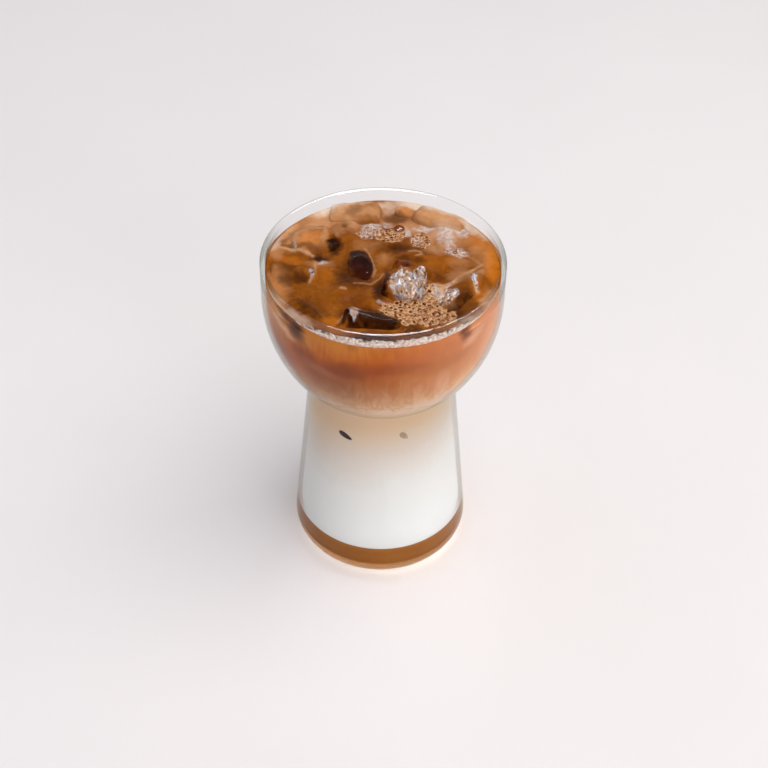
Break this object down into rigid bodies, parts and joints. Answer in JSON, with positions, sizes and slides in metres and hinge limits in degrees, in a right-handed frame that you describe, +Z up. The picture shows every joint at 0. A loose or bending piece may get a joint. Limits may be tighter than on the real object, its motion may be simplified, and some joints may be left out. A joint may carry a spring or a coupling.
{
  "type": "iced caramel macchiato",
  "caption": "Layered iced coffee drink in a waisted clear glass: caramel syrup, milk and coffee with floating ice.",
  "frame": {"origin": "middle of the glass's flat foot, on the surface that it stands on", "axes": "+Z up along the glass's axis, +X to the right and +Y away from the viewer in the picture's view"},
  "size_m": [0.0864, 0.0864, 0.1333],
  "materials": {
    "clear_glass": "clear blown soda-lime glass with a fire-polished rim",
    "caramel_syrup": "clear amber caramel syrup",
    "milk": "white milk, turning beige at its top",
    "milky_coffee": "milky espresso with fine froth",
    "ice": "melting clear and frosted ice, filmed with coffee"
  },
  "bodies": {
    "root": {"glass": "clear_glass", "caramel_syrup": "caramel_syrup", "milk": "milk", "coffee": "milky_coffee", "ice_peak": "ice", "ice_right": "ice", "ice_oval": "ice", "ice_back_left": "ice", "ice_left": "ice", "ice_front_left": "ice", "ice_front": "ice", "ice_front_right": "ice", "ice_back_slab": "ice", "ice_back_chip": "ice", "ice_back_right": "ice", "ice_right_chip": "ice"}
  },
  "joints": []
}
